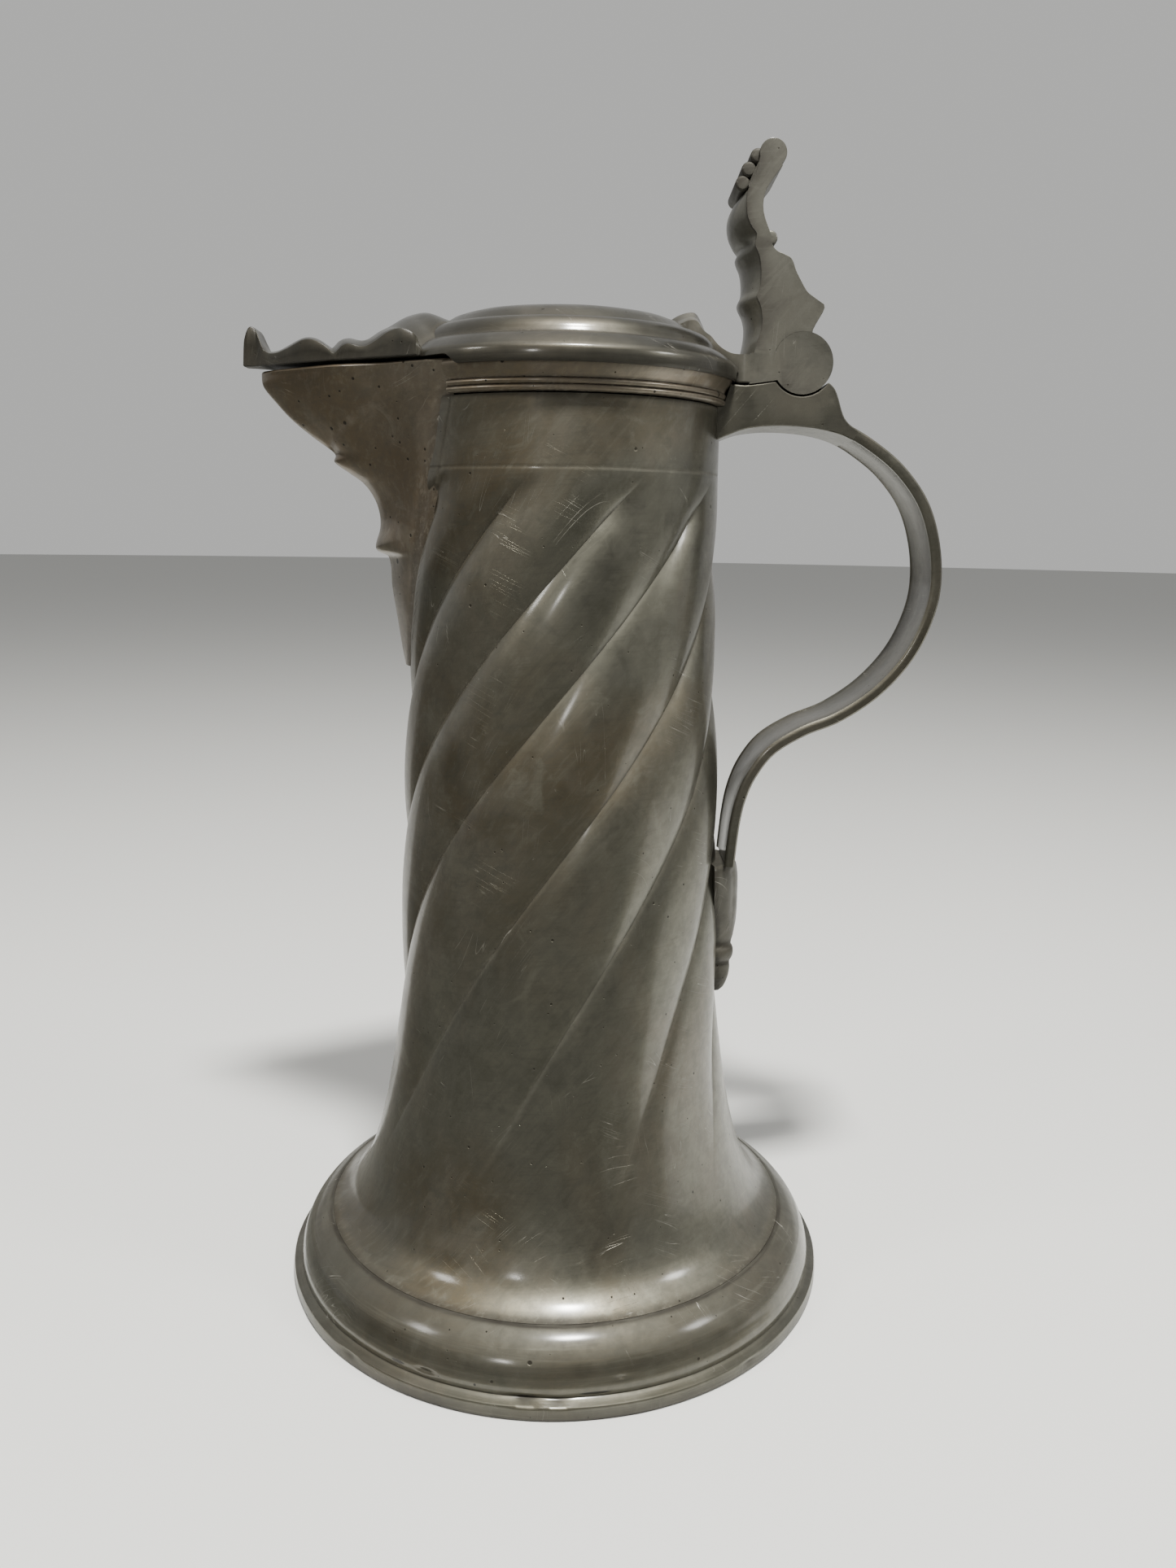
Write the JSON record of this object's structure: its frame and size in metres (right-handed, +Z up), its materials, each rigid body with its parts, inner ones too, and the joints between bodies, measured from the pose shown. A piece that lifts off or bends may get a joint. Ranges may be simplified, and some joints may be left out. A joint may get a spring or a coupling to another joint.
{
  "type": "spouted flagon",
  "caption": "Tall spiral-lobed pewter flagon with a moulded foot, beak spout, strap handle and a hinged stepped lid that also covers the beak, raised by a thumbpiece.",
  "frame": {"origin": "on the standing plane, under the middle of the whole footprint; the drum's axis is 8 mm towards the spout from it", "axes": "+Z up along the drum, +X towards the handle and the lid's hinge, -X towards the spout"},
  "size_m": [0.1882, 0.1588, 0.3144],
  "materials": {
    "pewter_body": "dull aged pewter, fine turning and brush marks, satin sheen, dark dirt in the creases",
    "pewter_spout": "dull aged pewter with a warm brown patina and small pits",
    "pewter_handle": "hand-rubbed cast pewter, brighter along its edges",
    "pewter_lid": "turned and cast pewter, satin, dark in the grooves"
  },
  "bodies": {
    "vessel": {"barrel": "pewter_body", "floor_disc": "pewter_body", "foot_ring": "pewter_body", "mouth_collar": "pewter_body", "spout": "pewter_spout", "handle": "pewter_handle", "lower_leaf": "pewter_handle", "hinge_pin": "pewter_handle"},
    "lid": {"lid_dome": "pewter_lid", "spout_cover": "pewter_lid", "hinge_arm": "pewter_lid", "thumbpiece": "pewter_lid"}
  },
  "joints": [
    {"name": "lid_hinge", "type": "hinge", "parent": "vessel", "child": "lid", "pos_m": [0.0537, 0, 0.2607], "axis": [0, 1, 0], "range_deg": [0, 108]}
  ]
}
